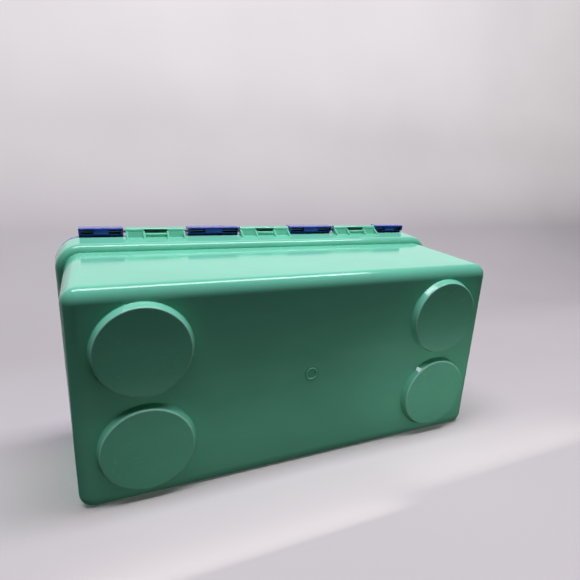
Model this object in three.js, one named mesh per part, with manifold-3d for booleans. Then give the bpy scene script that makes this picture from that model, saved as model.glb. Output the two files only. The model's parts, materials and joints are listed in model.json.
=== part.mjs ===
// Portable covered play box: a moulded tub on four round feet, a cover hinged along the whole
// back edge on one long rod, two snap latches at the front and a bail handle that folds flat
// into the cover. Millimetres, +Z up, origin under the middle of the box, hinge on the +Y side.
import * as THREE from 'three';
import { mergeVertices } from 'three/addons/utils/BufferGeometryUtils.js';
import Module from 'manifold-3d';

const wasm = await Module();
wasm.setup();

// ---- driving dimensions ----
const WALL = 2.4;
const GAP = 0.3;                    // clearance between pieces that touch or run on each other
const OVERRUN = 1;                  // how far a cutter runs past the face that it opens
const CORNER_X = 148.1;             // centres of the plan corners, shared by tub and cover
const CORNER_Y = 64.2;
const CORNER_STEPS = 8;             // facets in each plan corner

// the tub: outset is the distance out from the rectangle of corner centres
const BASE_Z = 5;                   // underside of the floor, above the feet
const BASE_OUTSET = 10;
const BASE_EDGE = 8;                // height of the rounded edge between floor and wall ...
const BASE_EDGE_REACH = 9.6;        // ... and how far it reaches in over the floor
const LIP_START_Z = 92;             // the rim flares out from here ...
const LIP_FULL_Z = 98;              // ... to here
const WALL_TOP_OUTSET = 12.5;
const LIP_OUTSET = 18.4;
const RIM_OUTSET = 20;
const PARTING_Z = 117;

const FOOT_X = 115;
const FOOT_Y = 33.6;
const FOOT_FACE_R = 29.3;
const FOOT_BASE_R = 30.6;
const FOOT_EDGE = 1.2;
const FOOT_STEPS = 40;
const FOOT_WELL_CHAMFER = 1;
const GATE_R = 5.8;                 // moulding gate: a dish in the middle of the underside ...
const GATE_DEPTH = 0.6;
const GATE_SLOPE = 0.5;
const GATE_RING = [3.6, 5];         // ... with a raised ring in it
const GATE_RING_PROUD = 0.3;

// the hinge
const HINGE_Y = 88.3;
const HINGE_Z = PARTING_Z;
const TUB_KNUCKLE_R = 3;
const COVER_KNUCKLE_R = 3;
const KNUCKLE_STEPS = 24;
const HEEL_EDGE = 1.2;                // rounding of the knuckles' lower outer edge
const PIN_R = 1.1;
const PIN_STEPS = 16;
const HINGE_PIN_HALF = 148.4;
const TUB_RIBS = [[71.3, 84.5, 102.8, 115.7], [-22, -8.7, 8.7, 22], [-115.7, -102.8, -84.5, -71.3]];
const RIB_THICK = 1.7;
const RIB_PROUD = 0.2;              // the gussets stand this far out of the rim and the barrel
const RIB_FOOT_Z = 105.3;
const RIB_FOOT_OUTSET = 19;
const RIB_TIP = 3.3;                // a gusset's tip lies this far below the axis
const SHELF_Z = 112.3;              // under the closed knuckles, where they meet the rim
const SHELF_FACE = -1.25;           // the shelf's face in the open stretch, about the axis
const SHELF_EDGE = 1.4;
const TUB_WINDOW_Y = 1.5;           // that stretch is open from the shelf's face to here
const TUB_WINDOW_TOP = 1.6;
const COVER_KNUCKLES = [[118.2, 150.2], [24.4, 67.6], [-67.6, -24.4], [-150.2, -118.2]];
const KNUCKLE_BLOCK = 0.34;         // share of a cover knuckle that its middle block takes
const WINDOW_WALL = 1.5;
const WINDOW_HALF_Y = 1.6;
const WINDOW_DEPTH = 6;
const STRAP_FULL = 7;               // a strap is as deep as its knuckle to here above the axis ...
const STRAP_RISE = 13;              // ... and slopes into the skirt up to here
const SKIN_Y = CORNER_Y + RIM_OUTSET - WALL / 2;    // the middle of the rim's and skirt's wall

// the cover
const COVER_Z = PARTING_Z + GAP;
const SHOULDER_START_Z = 125;
const SHOULDER_R = 12;
const SHOULDER_Z = SHOULDER_START_Z + SHOULDER_R;
const FIELD_HALF_X = 141;
const FIELD_HALF_Y = 57;
const FIELD_CORNER = 12;
const FIELD_DRAFT = 2;
const TOP_Z = 140;
const SKIRT_DRAFT = 0.3;
const LOCATING_LIP_Z = 113.5;
const LOCATING_LIP_THICK = 1.8;
const LOCATING_LIP_PLAY = 0.5;
const LOCATING_LIP_ROOT = 2;

// the bail handle and its pocket in the cover
const POCKET_HALF_X = 57.5;
const POCKET_FRONT_Y = -34;
const POCKET_BACK_Y = 17.4;
const POCKET_FLOOR_Z = 129.5;
const POCKET_CORNER = 3;
const POCKET_CHAMFER = 1;
const HANDLE_PIVOT_Y = 12;
const HANDLE_PIVOT_Z = 135;
const HANDLE_HALF_X = 55;
const HANDLE_ARM = 9;
const HANDLE_THICK = 7;
const HANDLE_FRONT_Y = -24;
const GRIP_DEPTH = 12;
const HANDLE_CORNER = 10;
const HANDLE_INNER_CORNER = 6;
const HANDLE_BEVEL = 1.5;
const HANDLE_HEEL_R = 5;
const HANDLE_PIN = [48, 67];
const BOSS_HALF = 5;                // boss in the cover round the outer end of a handle pin
const BOSS_END = 2;

// the front latches
const LATCH_X = 84;
const LATCH_Y = -87.5;
const LATCH_Z = 124;
const LATCH_BARREL_R = 3;
const LATCH_HALF = 13;
const EAR_R = 3.8;
const EAR_THICK = 4;
const EAR_FOOT = 1;
const LATCH_PIN_HALF = LATCH_HALF + GAP + EAR_THICK - 0.6;
const LATCH_INSIDE_Y = LATCH_Y - 0.5;
const LATCH_OUTSIDE_Y = LATCH_Y - LATCH_BARREL_R;
const LATCH_TAB_Y = -HINGE_Y - COVER_KNUCKLE_R;     // the lifting tab reaches as far as the hinge
const LATCH_TAB_THICK = 1.3;
const LATCH_TAB_Z = [98.2, 99.5, 100.5, 104];
const TOOTH_Y = [-86.8, -85.8];
const TOOTH_Z = [104.4, 106.6, 107.7];
const CATCH_HALF = 12;
const CATCH_Y = LATCH_Y + 0.1;
const CATCH_SLOPE_Y = 4.4;
const CATCH_Z = [108, 110, 114];

// ---- helpers ----
function solid(geometry) {
  const bare = geometry.clone();
  bare.deleteAttribute('normal');
  bare.deleteAttribute('uv');
  const merged = mergeVertices(bare, 1e-4);
  return new wasm.Manifold(new wasm.Mesh({
    numProp: 3,
    vertProperties: new Float32Array(merged.attributes.position.array),
    triVerts: new Uint32Array(merged.index.array),
  }));
}

function geometryOf(manifold) {
  const mesh = manifold.getMesh();
  const geometry = new THREE.BufferGeometry();
  geometry.setAttribute('position', new THREE.BufferAttribute(new Float32Array(mesh.vertProperties), 3));
  geometry.setIndex(new THREE.BufferAttribute(new Uint32Array(mesh.triVerts), 1));
  geometry.computeVertexNormals();
  return geometry;
}

// the points of a rounded rectangle at one height, anticlockwise from above
function ring(halfX, halfY, radius, z) {
  const signs = [[1, 1], [-1, 1], [-1, -1], [1, -1]];
  return signs.flatMap(([signX, signY], quarter) =>
    Array.from({ length: CORNER_STEPS + 1 }, (_, i) => {
      const angle = (quarter + i / CORNER_STEPS) * Math.PI / 2;
      return new THREE.Vector3(
        signX * (halfX - radius) + radius * Math.cos(angle),
        signY * (halfY - radius) + radius * Math.sin(angle),
        z,
      );
    }));
}

// the ring that lies outset millimetres outside the rectangle of corner centres
function outline([outset, z]) {
  return ring(CORNER_X + outset, CORNER_Y + outset, outset, z);
}

// a closed solid through rings that are listed from the bottom up
function loft(rings) {
  const count = rings[0].length;
  const centre = (points) => points.reduce((sum, p) => sum.add(p), new THREE.Vector3()).divideScalar(count);
  const points = [...rings.flat(), centre(rings[0]), centre(rings.at(-1))];
  const bottom = points.length - 2;
  const top = points.length - 1;
  const last = (rings.length - 1) * count;
  const index = [];
  for (let i = 0; i < count; i += 1) {
    const next = (i + 1) % count;
    index.push(bottom, next, i);
    index.push(top, last + i, last + next);
    for (let level = 0; level < last; level += count) {
      index.push(level + i, level + next, level + count + next);
      index.push(level + i, level + count + next, level + count + i);
    }
  }
  const geometry = new THREE.BufferGeometry().setFromPoints(points);
  geometry.setIndex(index);
  return solid(geometry);
}

// points of an elliptical arc, angles in degrees
function arc(centreU, centreV, radiusU, radiusV, from, to, steps) {
  return Array.from({ length: steps + 1 }, (_, i) => {
    const angle = THREE.MathUtils.degToRad(from + (to - from) * i / steps);
    return [centreU + radiusU * Math.cos(angle), centreV + radiusV * Math.sin(angle)];
  });
}

function block(x0, x1, y0, y1, z0, z1) {
  const geometry = new THREE.BoxGeometry(x1 - x0, y1 - y0, z1 - z0);
  geometry.translate((x0 + x1) / 2, (y0 + y1) / 2, (z0 + z1) / 2);
  return solid(geometry);
}

// a round bar along X
function barrel(radius, x0, x1, y, z, steps = KNUCKLE_STEPS) {
  const geometry = new THREE.CylinderGeometry(radius, radius, x1 - x0, steps);
  geometry.rotateZ(Math.PI / 2);
  geometry.translate((x0 + x1) / 2, y, z);
  return solid(geometry);
}

// an outline of [y, z] points pushed along X from x0 to x1
function plate(points, x0, x1) {
  const shape = new THREE.Shape(points.map(([y, z]) => new THREE.Vector2(y, z)));
  const geometry = new THREE.ExtrudeGeometry(shape, { depth: x1 - x0, bevelEnabled: false });
  geometry.applyMatrix4(new THREE.Matrix4().makeBasis(
    new THREE.Vector3(0, 1, 0), new THREE.Vector3(0, 0, 1), new THREE.Vector3(1, 0, 0),
  ));
  geometry.translate(x0, 0, 0);
  return solid(geometry);
}

// a turned solid about a vertical axis, from [radius, z] points listed from the bottom up
function turned(profile, x, y, steps) {
  const geometry = new THREE.LatheGeometry(profile.map(([r, z]) => new THREE.Vector2(r, z)), steps);
  geometry.rotateX(Math.PI / 2);
  geometry.translate(x, y, 0);
  return solid(geometry);
}

function union(parts) {
  return parts.reduce((whole, part) => whole.add(part));
}

function node(name, manifold, color, roughness, metalness = 0) {
  const material = new THREE.MeshStandardMaterial({ color, roughness, metalness });
  const mesh = new THREE.Mesh(geometryOf(manifold), material);
  mesh.name = name;
  return mesh;
}

// ---- the tub ----
function tubOuter() {
  const edge = arc(BASE_OUTSET - BASE_EDGE_REACH, BASE_Z + BASE_EDGE,
    BASE_EDGE_REACH, BASE_EDGE, -90, 0, 5);
  const lip = arc(WALL_TOP_OUTSET, LIP_FULL_Z, LIP_OUTSET - WALL_TOP_OUTSET,
    LIP_FULL_Z - LIP_START_Z, -90, 0, 5);
  return loft([...edge, ...lip, [RIM_OUTSET, PARTING_Z]].map(outline));
}

function tubCavity() {
  const edge = arc(BASE_OUTSET - BASE_EDGE_REACH, BASE_Z + BASE_EDGE,
    BASE_EDGE_REACH - WALL, BASE_EDGE - WALL, -90, 0, 4);
  const lip = arc(WALL_TOP_OUTSET - WALL, LIP_FULL_Z, LIP_OUTSET - WALL_TOP_OUTSET,
    LIP_FULL_Z - LIP_START_Z - WALL, -90, 0, 5);
  const mouth = RIM_OUTSET - WALL;
  return loft([...edge, ...lip, [mouth, PARTING_Z], [mouth, PARTING_Z + OVERRUN]].map(outline));
}

// a foot is a disc with a soft edge; inside the tub it is a round well of the same wall
function foot(x, y) {
  const rim = arc(FOOT_FACE_R - FOOT_EDGE, FOOT_EDGE, FOOT_EDGE, FOOT_EDGE, -90, 0, 3);
  const top = BASE_Z + WALL / 2;
  return turned([[0, 0], ...rim, [FOOT_BASE_R, BASE_Z], [FOOT_BASE_R, top], [0, top]], x, y, FOOT_STEPS);
}

function footWell(x, y) {
  const radius = FOOT_FACE_R - WALL;
  const top = BASE_Z + WALL + OVERRUN;
  const chamfer = [[radius - FOOT_WELL_CHAMFER, WALL], [radius, WALL + FOOT_WELL_CHAMFER]];
  return turned([[0, WALL], ...chamfer, [radius, top], [0, top]], x, y, FOOT_STEPS);
}

function gateDish() {
  const low = BASE_Z - OVERRUN;
  const high = BASE_Z + GATE_DEPTH;
  const side = [[GATE_R, low], [GATE_R, BASE_Z], [GATE_R - GATE_SLOPE, high]];
  return turned([[0, low], ...side, [0, high]], 0, 0, FOOT_STEPS);
}

function gateRing() {
  const [inner, outer] = GATE_RING;
  const low = BASE_Z - GATE_RING_PROUD;
  const high = BASE_Z + WALL / 2;
  return turned([[inner, low], [outer, low], [outer, high], [inner, high], [inner, low]], 0, 0, FOOT_STEPS);
}

// one hinge group of the tub: two closed knuckles with a gusset rib at each end, and between
// them a stretch that is open from below, where the rod shows over a rounded shelf
function hingeGroup(ribs) {
  const [first, second, third, fourth] = ribs;
  const half = RIB_THICK / 2;
  const rootY = SKIN_Y - OVERRUN;
  const rimY = CORNER_Y + RIM_OUTSET;
  const topZ = HINGE_Z - GAP;
  const barrelZ = HINGE_Z - TUB_KNUCKLE_R;
  const gusset = [[rootY, RIB_FOOT_Z - OVERRUN], [CORNER_Y + RIB_FOOT_OUTSET + RIB_PROUD, RIB_FOOT_Z],
    [HINGE_Y + RIB_PROUD, HINGE_Z - RIB_TIP], [HINGE_Y, topZ], [rootY, topZ]];
  const closed = [[rootY, SHELF_Z], [rimY, SHELF_Z], [HINGE_Y, barrelZ], [HINGE_Y, topZ], [rootY, topZ]];
  const faceY = HINGE_Y + SHELF_FACE;
  const edge = arc(faceY - SHELF_EDGE, SHELF_Z + SHELF_EDGE, SHELF_EDGE, SHELF_EDGE, -90, 0, 4);
  const shelf = [[rootY, SHELF_Z], ...edge, [faceY, topZ], [rootY, topZ]];
  const open = block(second, third, rootY - OVERRUN, HINGE_Y + TUB_WINDOW_Y,
    RIB_FOOT_Z, HINGE_Z + TUB_WINDOW_TOP);
  return union([
    union([
      barrel(TUB_KNUCKLE_R, first - half, fourth + half, HINGE_Y, HINGE_Z),
      plate(closed, first - half, fourth + half),
    ]).subtract(open),
    plate(shelf, second, third),
    ...ribs.map((x) => plate(gusset, x - half, x + half)),
  ]);
}

// the ledge on the rim's front that a latch's tooth hooks under
function catchLedge(x) {
  const [low, nose, high] = CATCH_Z;
  const slope = [[CATCH_Y + CATCH_SLOPE_Y, high], [CATCH_Y, nose]];
  return plate([[-SKIN_Y, low], [-SKIN_Y, high], ...slope, [CATCH_Y, low]], x - CATCH_HALF, x + CATCH_HALF);
}

function makeTub() {
  const feet = [1, -1].flatMap((signX) => [1, -1].map((signY) => [signX * FOOT_X, signY * FOOT_Y]));
  const shell = union([
    tubOuter(),
    ...feet.map(([x, y]) => foot(x, y)),
  ]).subtract(union([tubCavity(), gateDish(), ...feet.map(([x, y]) => footWell(x, y))]));
  const boreHalf = HINGE_PIN_HALF + OVERRUN;
  const bore = barrel(PIN_R + GAP, -boreHalf, boreHalf, HINGE_Y, HINGE_Z, PIN_STEPS);
  return union([
    shell,
    gateRing(),
    ...TUB_RIBS.map(hingeGroup),
    catchLedge(LATCH_X),
    catchLedge(-LATCH_X),
  ]).subtract(bore);
}

// ---- the cover ----
function coverProfile(inset) {
  const radius = SHOULDER_R - inset;
  const shoulder = arc(RIM_OUTSET - SHOULDER_R - SKIRT_DRAFT, SHOULDER_START_Z, radius, radius, 0, 90, 5);
  return [[RIM_OUTSET - inset, COVER_Z], ...shoulder];
}

function field(inset, z) {
  return ring(FIELD_HALF_X - inset, FIELD_HALF_Y - inset, FIELD_CORNER - inset, z);
}

function coverShell() {
  const fieldBase = SHOULDER_Z - WALL;
  const outer = union([
    loft(coverProfile(0).map(outline)),
    loft([field(0, fieldBase), field(0, SHOULDER_Z + OVERRUN), field(FIELD_DRAFT, TOP_Z)]),
  ]);
  const inset = FIELD_DRAFT + WALL;
  const inner = coverProfile(WALL);
  const [mouth] = inner[0];
  const cavity = union([
    loft([[mouth, COVER_Z - OVERRUN], ...inner].map(outline)),
    loft([field(inset, fieldBase - WALL), field(inset, TOP_Z - WALL)]),
  ]);
  return outer.subtract(cavity.subtract(union([pocket(WALL), ...handleBosses()])));
}

// the handle's pocket; grow thickens it into the shell that carries it
function pocket(grow) {
  const halfX = POCKET_HALF_X + grow;
  const halfY = (POCKET_BACK_Y - POCKET_FRONT_Y) / 2 + grow;
  const corner = POCKET_CORNER + grow;
  const floor = POCKET_FLOOR_Z - grow;
  const rings = [
    ring(halfX - POCKET_CHAMFER, halfY - POCKET_CHAMFER, corner - POCKET_CHAMFER, floor),
    ring(halfX, halfY, corner, floor + POCKET_CHAMFER),
    ring(halfX, halfY, corner, TOP_Z + OVERRUN),
  ];
  return loft(rings).translate([0, (POCKET_BACK_Y + POCKET_FRONT_Y) / 2, 0]);
}

// x0 and x1 on the right-hand side of the middle, or mirrored to the left
function mirrored(side, x0, x1) {
  return [side * x0, side * x1].sort((a, b) => a - b);
}

function handleBosses() {
  const [, pinEnd] = HANDLE_PIN;
  return [1, -1].map((side) => block(
    ...mirrored(side, POCKET_HALF_X, pinEnd + BOSS_END),
    HANDLE_PIVOT_Y - BOSS_HALF, HANDLE_PIVOT_Y + BOSS_HALF, HANDLE_PIVOT_Z - BOSS_HALF, TOP_Z,
  ));
}

// the ring under the cover that drops inside the tub's rim
function locatingLip() {
  const outset = RIM_OUTSET - WALL - LOCATING_LIP_PLAY;
  const inside = outset - LOCATING_LIP_THICK;
  const top = COVER_Z + LOCATING_LIP_ROOT;
  const root = outset + 2 * LOCATING_LIP_PLAY;
  const outer = loft([[outset - LOCATING_LIP_PLAY, LOCATING_LIP_Z], [outset, LOCATING_LIP_Z + OVERRUN],
    [outset, COVER_Z], [root, COVER_Z], [root, top]].map(outline));
  return outer.subtract(loft([[inside, LOCATING_LIP_Z - OVERRUN], [inside, top + OVERRUN]].map(outline)));
}

// a cover knuckle: a barrel, fuller at its lower outer edge, strapped to the skirt above,
// with two pockets from below on each side of a solid middle block
function coverKnuckle([x0, x1]) {
  const flat = COVER_KNUCKLE_R - HEEL_EDGE;
  const heel = [
    [HINGE_Y, HINGE_Z],
    [HINGE_Y, HINGE_Z - COVER_KNUCKLE_R],
    ...arc(HINGE_Y + flat, HINGE_Z - flat, HEEL_EDGE, HEEL_EDGE, -90, 0, 4),
    [HINGE_Y + COVER_KNUCKLE_R, HINGE_Z],
  ];
  const faceY = HINGE_Y + COVER_KNUCKLE_R;
  const strapTop = HINGE_Z + STRAP_RISE;
  const strap = [[SKIN_Y - OVERRUN, COVER_Z], [faceY, COVER_Z], [faceY, HINGE_Z + STRAP_FULL],
    [SKIN_Y + OVERRUN, strapTop], [SKIN_Y - OVERRUN, strapTop]];
  const blockHalf = (x1 - x0) * KNUCKLE_BLOCK / 2;
  const middle = (x0 + x1) / 2;
  const windows = [[x0 + WINDOW_WALL, middle - blockHalf], [middle + blockHalf, x1 - WINDOW_WALL]];
  return union([
    barrel(COVER_KNUCKLE_R, x0, x1, HINGE_Y, HINGE_Z),
    plate(heel, x0, x1),
    plate(strap, x0, x1),
  ]).subtract(union(windows.map(([a, b]) => block(a, b, HINGE_Y - WINDOW_HALF_Y, HINGE_Y + WINDOW_HALF_Y,
    HINGE_Z - WINDOW_DEPTH, COVER_Z))));
}

// two ears on the front skirt that carry a latch
function latchEars(centre) {
  const nose = arc(LATCH_Y, LATCH_Z, EAR_R, EAR_R, -90, -270, 8);
  const footY = OVERRUN - SKIN_Y;
  const points = [[footY, LATCH_Z - EAR_R - EAR_FOOT], ...nose, [footY, LATCH_Z + EAR_R]];
  const start = LATCH_HALF + GAP;
  return [[start, start + EAR_THICK], [-start - EAR_THICK, -start]]
    .map(([x0, x1]) => plate(points, centre + x0, centre + x1));
}

function coverBores() {
  const boreR = PIN_R + GAP;
  const latchHalf = LATCH_HALF + GAP + EAR_THICK + OVERRUN;
  const [pinStart, pinEnd] = HANDLE_PIN;
  const hingeEnd = HINGE_PIN_HALF + EAR_THICK;
  return [
    barrel(boreR, -HINGE_PIN_HALF - GAP, hingeEnd, HINGE_Y, HINGE_Z, PIN_STEPS),
    ...[LATCH_X, -LATCH_X].map((x) =>
      barrel(boreR, x - latchHalf, x + latchHalf, LATCH_Y, LATCH_Z, PIN_STEPS)),
    ...[1, -1].map((side) => barrel(boreR, ...mirrored(side, pinStart - OVERRUN, pinEnd + GAP),
      HANDLE_PIVOT_Y, HANDLE_PIVOT_Z, PIN_STEPS)),
  ];
}

function makeCover() {
  const shell = union([coverShell(), locatingLip()]).subtract(pocket(0));
  return union([
    shell,
    ...COVER_KNUCKLES.map(coverKnuckle),
    ...latchEars(LATCH_X),
    ...latchEars(-LATCH_X),
  ]).subtract(union(coverBores()));
}

// ---- moving pieces and pins ----
function handleShape() {
  const back = HANDLE_PIVOT_Y;
  const inner = HANDLE_HALF_X - HANDLE_ARM;
  const outerX = HANDLE_HALF_X - HANDLE_CORNER;
  const outerY = HANDLE_FRONT_Y + HANDLE_CORNER;
  const innerX = inner - HANDLE_INNER_CORNER;
  const innerY = HANDLE_FRONT_Y + GRIP_DEPTH + HANDLE_INNER_CORNER;
  const shape = new THREE.Shape();
  shape.moveTo(-HANDLE_HALF_X, back);
  shape.lineTo(-HANDLE_HALF_X, outerY);
  shape.absarc(-outerX, outerY, HANDLE_CORNER, Math.PI, Math.PI * 1.5);
  shape.absarc(outerX, outerY, HANDLE_CORNER, -Math.PI / 2, 0);
  shape.lineTo(HANDLE_HALF_X, back);
  shape.lineTo(inner, back);
  shape.absarc(innerX, innerY, HANDLE_INNER_CORNER, 0, -Math.PI / 2, true);
  shape.absarc(-innerX, innerY, HANDLE_INNER_CORNER, -Math.PI / 2, -Math.PI, true);
  shape.lineTo(-inner, back);
  return shape;
}

function makeHandle() {
  const inner = HANDLE_HALF_X - HANDLE_ARM;
  const geometry = new THREE.ExtrudeGeometry(handleShape(), {
    depth: HANDLE_THICK - 2 * HANDLE_BEVEL,
    bevelSize: HANDLE_BEVEL,
    bevelThickness: HANDLE_BEVEL,
    bevelOffset: -HANDLE_BEVEL,
    bevelSegments: 2,
    curveSegments: 6,
  });
  geometry.translate(0, 0, HANDLE_PIVOT_Z - HANDLE_THICK / 2 + HANDLE_BEVEL);
  const heels = [1, -1].map((side) =>
    barrel(HANDLE_HEEL_R, ...mirrored(side, inner, HANDLE_HALF_X), HANDLE_PIVOT_Y, HANDLE_PIVOT_Z));
  const boreHalf = HANDLE_HALF_X + OVERRUN;
  const bore = barrel(PIN_R + GAP, -boreHalf, boreHalf, HANDLE_PIVOT_Y, HANDLE_PIVOT_Z, PIN_STEPS);
  return union([solid(geometry), ...heels]).subtract(bore);
}

// a latch plate hangs from its barrel, hooks under the catch with a tooth, and ends in a tab
function makeLatch(centre) {
  const [tipZ, bendZ, tabZ, plateZ] = LATCH_TAB_Z;
  const [toothInY, toothOutY] = TOOTH_Y;
  const [toothLowZ, toothNoseZ, toothHighZ] = TOOTH_Z;
  const points = [
    [LATCH_INSIDE_Y, LATCH_Z],
    [LATCH_INSIDE_Y, toothHighZ],
    [toothInY, toothHighZ],
    [toothOutY, toothNoseZ],
    [toothOutY, toothLowZ],
    [LATCH_INSIDE_Y, toothLowZ],
    [LATCH_INSIDE_Y - LATCH_TAB_THICK / 2, tabZ],
    [LATCH_TAB_Y + LATCH_TAB_THICK, tipZ],
    [LATCH_TAB_Y, bendZ],
    [LATCH_OUTSIDE_Y, plateZ],
    [LATCH_OUTSIDE_Y, LATCH_Z],
  ];
  const boreHalf = LATCH_HALF + OVERRUN;
  const bore = barrel(PIN_R + GAP, centre - boreHalf, centre + boreHalf, LATCH_Y, LATCH_Z, PIN_STEPS);
  return union([
    plate(points, centre - LATCH_HALF, centre + LATCH_HALF),
    barrel(LATCH_BARREL_R, centre - LATCH_HALF, centre + LATCH_HALF, LATCH_Y, LATCH_Z),
  ]).subtract(bore);
}

function makePin(x0, x1, y, z) {
  return barrel(PIN_R, x0, x1, y, z, PIN_STEPS);
}

// ---- colours and the assembly ----
const MINT = 0x7fe0bd;
const BLUE = 0x2a3fb8;
const STEEL = 0xb9bcc0;
const SHELL_ROUGHNESS = 0.3;
const TRIM_ROUGHNESS = 0.35;
const STEEL_ROUGHNESS = 0.35;
const group = new THREE.Group();
group.add(node('tub', makeTub(), MINT, SHELL_ROUGHNESS));
group.add(node('cover', makeCover(), BLUE, SHELL_ROUGHNESS));
const hingePin = makePin(-HINGE_PIN_HALF, HINGE_PIN_HALF, HINGE_Y, HINGE_Z);
group.add(node('hinge_pin', hingePin, STEEL, STEEL_ROUGHNESS, 1));
group.add(node('handle', makeHandle(), MINT, TRIM_ROUGHNESS));
for (const [name, side] of [['right', 1], ['left', -1]]) {
  const handlePin = mirrored(side, ...HANDLE_PIN);
  const centre = side * LATCH_X;
  const latchPin = [centre - LATCH_PIN_HALF, centre + LATCH_PIN_HALF];
  const handlePinBar = makePin(...handlePin, HANDLE_PIVOT_Y, HANDLE_PIVOT_Z);
  group.add(node(`handle_pin_${name}`, handlePinBar, STEEL, STEEL_ROUGHNESS, 1));
  group.add(node(`latch_${name}`, makeLatch(centre), MINT, TRIM_ROUGHNESS));
  group.add(node(`latch_pin_${name}`, makePin(...latchPin, LATCH_Y, LATCH_Z), STEEL, STEEL_ROUGHNESS, 1));
}

export default group;
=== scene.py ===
import json
import math

import bmesh
import bpy
from mathutils import Matrix, Vector


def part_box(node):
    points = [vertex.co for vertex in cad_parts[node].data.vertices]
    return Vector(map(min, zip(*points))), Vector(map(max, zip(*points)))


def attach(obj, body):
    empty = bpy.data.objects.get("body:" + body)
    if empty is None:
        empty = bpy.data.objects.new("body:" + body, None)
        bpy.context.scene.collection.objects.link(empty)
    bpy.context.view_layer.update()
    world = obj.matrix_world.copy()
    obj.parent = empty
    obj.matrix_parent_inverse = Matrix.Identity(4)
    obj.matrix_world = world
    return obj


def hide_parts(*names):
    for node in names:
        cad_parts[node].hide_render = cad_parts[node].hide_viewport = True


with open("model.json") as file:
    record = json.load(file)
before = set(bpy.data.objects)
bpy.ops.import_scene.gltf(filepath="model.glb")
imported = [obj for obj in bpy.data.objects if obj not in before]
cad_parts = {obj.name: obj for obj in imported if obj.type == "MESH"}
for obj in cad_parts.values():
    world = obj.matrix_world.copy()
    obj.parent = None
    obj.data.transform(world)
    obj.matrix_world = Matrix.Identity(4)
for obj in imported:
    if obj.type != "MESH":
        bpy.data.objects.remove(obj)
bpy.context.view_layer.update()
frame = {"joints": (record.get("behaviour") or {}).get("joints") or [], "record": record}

# Shapes are drawn in millimetres in the row's frame and scaled to metres when they become objects.
MM = 0.001
PIVOTS = {joint["name"]: Vector(joint["pos_m"]) / MM for joint in frame["joints"]}
TUB_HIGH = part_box("tub")[1] / MM
COVER_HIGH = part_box("cover")[1] / MM
PIN_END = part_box("hinge_pin")[1].x / MM
HANDLE_PIN_LOW, HANDLE_PIN_HIGH = (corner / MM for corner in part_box("handle_pin_right"))

# ---- sizes of the mouldings, as in the CAD source ----
WALL = 2.4
GAP = 0.3
RIM_OUTSET = 20.0                     # distances out from the rectangle of plan corner centres
CORNER_X = TUB_HIGH.x - RIM_OUTSET
CORNER_Y = 64.2
BASE_Z = 5.0                          # underside of the floor, above the feet
BASE_OUTSET = 10.0
BASE_EDGE = 8.0                       # height of the rounded edge between floor and wall ...
BASE_EDGE_REACH = 9.6                 # ... and how far it reaches in over the floor
LIP_START_Z = 92.0                    # the rim flares out from here ...
LIP_FULL_Z = 98.0                     # ... to here
WALL_TOP_OUTSET = 12.5
LIP_OUTSET = 18.4
RIM_ROUND = 0.7                       # rounding of the rim's two top edges
FOOT_X, FOOT_Y = 115.0, 33.6
FOOT_FACE_R = 29.3
FOOT_BASE_R = 30.6
FOOT_EDGE = 1.2
FOOT_FILLET = 0.7                     # where a foot meets the floor
FOOT_WELL_MOUTH = 0.9                 # rounding of the well above a foot, at the inside floor
GATE_R = 5.8                          # the moulding gate is a dish in the underside ...
GATE_DEPTH = 0.6
GATE_SLOPE = 0.5
GATE_RING = (3.6, 5.0)                # ... with a ring in it, from this radius to that ...
GATE_RING_PROUD = 0.3                 # ... which stands this far out of the underside

HINGE = PIVOTS["cover_hinge"]
PARTING_Z = HINGE.z
TUB_KNUCKLE_R = 3.0
COVER_KNUCKLE_R = 3.0
HEEL_EDGE = 1.2                       # rounding of the cover knuckles' lower outer edge
PIN_R = 1.1
TUB_RIBS = [(71.3, 84.5, 102.8, 115.7), (-22.0, -8.7, 8.7, 22.0), (-115.7, -102.8, -84.5, -71.3)]
RIB_THICK = 1.7
RIB_PROUD = 0.2
RIB_FOOT_Z = 105.3
RIB_FOOT_OUTSET = 19.0
RIB_TIP = 3.3                         # a gusset's tip lies this far below the axis
SHELF_Z = 112.3                       # under the closed knuckles, where they meet the rim
SHELF_FACE = -1.25                    # the shelf's face in the open stretch, about the axis
SHELF_EDGE = 1.4
TUB_WINDOW = (1.5, 1.6)               # how far that stretch is open past the axis, in Y and Z
COVER_KNUCKLES = [(118.2, 150.2), (24.4, 67.6), (-67.6, -24.4), (-150.2, -118.2)]
KNUCKLE_BLOCK = 0.34                  # share of a cover knuckle that its middle block takes
WINDOW_WALL = 1.5
WINDOW_HALF_Y = 1.6
WINDOW_DEPTH = 6.0
STRAP_FULL = 7.0                      # a strap is as deep as its knuckle to here above the axis ...
STRAP_RISE = 13.0                     # ... and slopes into the skirt up to here
SKIN_Y = CORNER_Y + RIM_OUTSET - WALL / 2      # the middle of the rim's and the skirt's wall

COVER_Z = PARTING_Z + GAP
SHOULDER_START_Z = 125.0
SHOULDER_R = 12.0
SHOULDER_Z = SHOULDER_START_Z + SHOULDER_R
SKIRT_DRAFT = 0.3
SKIRT_ROUND = 0.6                     # rounding of the skirt's lower outer edge
FIELD_HALF = (141.0, 57.0)
FIELD_CORNER = 12.0
FIELD_DRAFT = 2.0
FIELD_STEP = [(0.8, 0.0), (0.25, 0.25), (0.0, 0.8), (-0.9, 1.9), (-1.35, 2.6), (-2.0, 3.0)]
TOP_Z = COVER_HIGH.z
LOCATING_LIP_Z = 113.5
LOCATING_LIP_THICK = 1.8
LOCATING_LIP_PLAY = 0.5
LOCATING_LIP_ROOT = 2.0

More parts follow.
